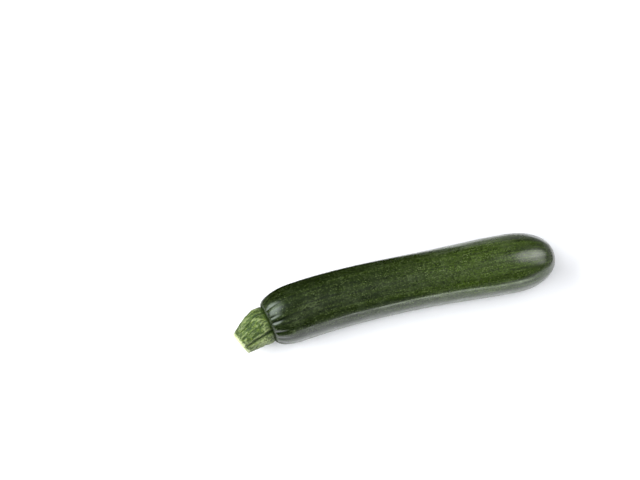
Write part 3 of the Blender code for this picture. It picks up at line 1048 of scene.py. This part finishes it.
def make_stem_skin(flecks, streaks):
    """Build the stem's skin: mottled green cords with dark creases, painted highlight and painted
    shade on its relief, and the pale cut.
    """
    material, stem = new_surface("courgette_stem", "stem_place", flecks, streaks)
    tree, shader = stem.tree, stem.shader
    streak = add_streaks(stem, STEM_STREAKS)
    dots = add_flecks(stem, STEM_DOTS)
    creases = add_streaks(stem, STEM_CREASES)
    layers = ((streak, STEM_YELLOW), *stem_layers(stem, dots, creases), *cut_layers(stem))
    tree.links.new(lay_over(tree, STEM_GREEN, layers), shader.inputs["Base Color"])
    shader.inputs["Roughness"].default_value = STEM_ROUGHNESS
    height = add_math(tree, "ADD", add_noise(tree, stem.place, *STEM_PORES), streak)
    height = add_math(tree, "SUBTRACT", add_math(tree, "ADD", height, dots), creases)
    tree.links.new(add_bump(tree, height, *STEM_BUMP), shader.inputs["Normal"])
    return material


def plain_material(name, colour, roughness):
    """Return a material of one colour, for what stands round the object."""
    material, _, shader = new_material(name)
    shader.inputs["Base Color"].default_value = (*colour, 1.0)
    shader.inputs["Roughness"].default_value = roughness
    return material


def add_plane(name, size, turn, place, material):
    """Add a flat stage object of this half length and half height, turned and moved."""
    body = bmesh.new()
    bmesh.ops.create_grid(body, x_segments=1, y_segments=1, size=1.0)
    bmesh.ops.scale(body, vec=(size[0], size[1], 1.0), verts=body.verts)
    bmesh.ops.transform(body, matrix=Matrix.Translation(place) @ turn.to_4x4(), verts=body.verts)
    plane = link_object(name, finish_mesh(name, body))
    plane.data.materials.append(material)
    return plane


def hide_from_view(thing):
    """Leave a stage object to the reflections alone."""
    thing.visible_camera = False
    thing.visible_diffuse = False
    thing.visible_shadow = False
    thing.visible_transmission = False


def matt_material(name, grey):
    """Return the flat grey or black of what shades the reflections."""
    material = plain_material(name, (grey, grey, grey), 1.0)
    material.node_tree.nodes["Principled BSDF"].inputs["Specular IOR Level"].default_value = 0.0
    return material


def add_front_card():
    """Stand a dark card across the front of the table."""
    _, _, back = camera_axes()
    front = Vector((back.x, back.y, 0.0)).normalized()
    upright = Matrix.Rotation(math.radians(90.0), 3, "X")
    upright.rotate(Matrix.Rotation(math.radians(CAMERA_AZIMUTH), 3, "Z"))
    place = front * FRONT_CARD_AWAY + Vector((0.0, 0.0, FRONT_CARD_HEIGHT / 2.0))
    size = (FRONT_CARD_LENGTH / 2.0, FRONT_CARD_HEIGHT / 2.0)
    black = matt_material("front_card", 0.0)
    hide_from_view(add_plane("front_card", size, upright, place, black))


def add_roll(name, middle, size, heading, grey):
    """Lay a roll with tapered ends on the table."""
    body = bmesh.new()
    bmesh.ops.create_uvsphere(body, u_segments=ROLL_SEGMENTS, v_segments=ROLL_RINGS, radius=1.0)
    bmesh.ops.scale(body, vec=size, verts=body.verts)
    turn = Matrix.Rotation(math.radians(heading), 4, "Z")
    bmesh.ops.transform(body, matrix=Matrix.Translation(middle) @ turn, verts=body.verts)
    roll = link_object(name, finish_mesh(name, body))
    roll.data.shade_smooth()
    roll.data.materials.append(matt_material(name, grey))
    hide_from_view(roll)


def add_shade(name, middle, size):
    """Lay a grey shade on the table round one end, paler towards its own edge."""
    material, tree, shader = new_material(name)
    shader.inputs["Roughness"].default_value = TABLE_ROUGHNESS
    place = add_node(tree, "ShaderNodeTexCoord").outputs["Object"]
    scale = (1.0 / size[0], 1.0 / size[1], 0.0)
    start = [-middle[axis] * scale[axis] for axis in range(3)]
    sockets = {"Vector": place, "Location": start, "Scale": scale}
    from_middle = add_node(tree, "ShaderNodeMapping", None, sockets).outputs["Vector"]
    away = add_node(tree, "ShaderNodeVectorMath", {"operation": "LENGTH"}, {0: from_middle})
    fade = add_range(tree, away.outputs["Value"], SHADE_CORE, 1.0)
    tree.links.new(add_mix(tree, fade, SHADE_GREY, TABLE_WHITE), shader.inputs["Base Color"])
    hide_from_view(add_plane(name, size, FLAT, middle, material))


def camera_axes():
    """Return the camera's right, up and backward directions."""
    azimuth, elevation = math.radians(CAMERA_AZIMUTH), math.radians(CAMERA_ELEVATION)
    level = math.cos(elevation)
    back = Vector((math.sin(azimuth) * level, -math.cos(azimuth) * level, math.sin(elevation)))
    right = Vector((math.cos(azimuth), math.sin(azimuth), 0.0))
    return right, back.cross(right), back


def add_camera():
    """Add the camera, above the fruit and a little in front of it."""
    right, up, back = camera_axes()
    target = right * AIM_RIGHT + up * AIM_UP + Vector((0.0, 0.0, AIM_HEIGHT))
    camera = link_object("camera", bpy.data.cameras.new("camera"))
    camera.data.lens = CAMERA_LENS
    camera.data.clip_start = CAMERA_CLIP
    camera.location = target + back * CAMERA_DISTANCE
    camera.rotation_mode = "QUATERNION"
    camera.rotation_quaternion = (-back).to_track_quat("-Z", "Y")
    bpy.context.scene.camera = camera


def add_softbox(name, heading, elevation, size, power):
    """Add a soft oval light that faces the middle of the table and that no gloss shows."""
    light = bpy.data.lights.new(name, "AREA")
    light.shape = "ELLIPSE"
    light.size, light.size_y = size
    light.energy = power
    lamp = link_object(name, light)
    towards = heading_vector(heading, elevation)
    lamp.location = towards * SOFTBOX_DISTANCE
    lamp.rotation_mode = "QUATERNION"
    lamp.rotation_quaternion = towards.to_track_quat("Z", "Y")
    lamp.visible_glossy = False


def glow_material(name, brightness, colour):
    """Return a glow that fades out towards the edges of its card."""
    material, tree, _ = new_material(name)
    parts = split_place(tree, add_node(tree, "ShaderNodeTexCoord").outputs["Object"])
    across, up = [add_math(tree, "ABSOLUTE", parts[axis]) for axis in "XY"]
    across = add_range(tree, across, 1.0 - GLOW_SOFTNESS, 1.0, brightness, 0.0)
    up = add_range(tree, up, 1.0 - GLOW_SOFTNESS, 1.0, 1.0, 0.0)
    sockets = {"Strength": multiply(tree, across, up), "Color": (*colour, 1.0)}
    shader = add_node(tree, "ShaderNodeEmission", None, sockets)
    tree.links.new(shader.outputs[0], tree.nodes["Material Output"].inputs["Surface"])
    return material


def add_glow_card(name, place, size, brightness, colour):
    """Hang a soft card that faces the middle of the table."""
    glow = glow_material(name, brightness, colour)
    card = add_plane(name, (1.0, 1.0), FLAT, Vector(), glow)
    card.location = place
    card.rotation_mode = "QUATERNION"
    card.rotation_quaternion = place.to_track_quat("Z", "Y")
    card.scale = (*size, 1.0)
    hide_from_view(card)


def add_room():
    """Light the table evenly, from a room whose lower part is dark where the skin mirrors it."""
    world = bpy.data.worlds.new("room")
    bpy.context.scene.world = world
    world.use_nodes = True
    world.cycles.sampling_method = "NONE"
    tree = world.node_tree
    background = tree.nodes["Background"]
    direction = add_node(tree, "ShaderNodeTexCoord").outputs["Generated"]
    height = split_place(tree, direction)["Z"]
    gloss = add_range(tree, height, *GLOSS_CLIMB, GLOSS_LOW, GLOSS_HIGH)
    path = add_node(tree, "ShaderNodeLightPath")
    strength = add_range(tree, path.outputs["Is Glossy Ray"], 0.0, 1.0, ROOM_LIGHT, gloss)
    strength = add_range(tree, path.outputs["Is Camera Ray"], 0.0, 1.0, strength, ROOM_SEEN)
    background.inputs["Color"].default_value = (1.0, 1.0, 1.0, 1.0)
    tree.links.new(strength, background.inputs["Strength"])


def add_stage():
    """Add the table, what shades and lights it, what only the gloss shows, and the room."""
    white = plain_material("pale_table", TABLE_WHITE, TABLE_ROUGHNESS)
    add_plane("table_top", (TABLE_HALF, TABLE_HALF), FLAT, Vector(), white)
    add_front_card()
    for roll in ROLLS:
        add_roll(*roll)
    add_shade("neck_shade", NECK_SHADE_PLACE, NECK_SHADE_SIZE)
    for light in TABLE_LIGHTS:
        add_softbox(*light)
    for card in GLOW_CARDS:
        add_glow_card(*card)
    add_room()


fleck_group = build_flecks()
streak_group = build_streaks()
fruit_mesh = make_fruit()
stem_mesh = make_stem()
set_on_frame([fruit_mesh, stem_mesh])
add_piece(fruit_mesh, "fruit", make_skin(fleck_group, streak_group))
add_piece(stem_mesh, "stem", make_stem_skin(fleck_group, streak_group))
add_stage()
add_camera()
bpy.context.scene.view_settings.view_transform = "Standard"
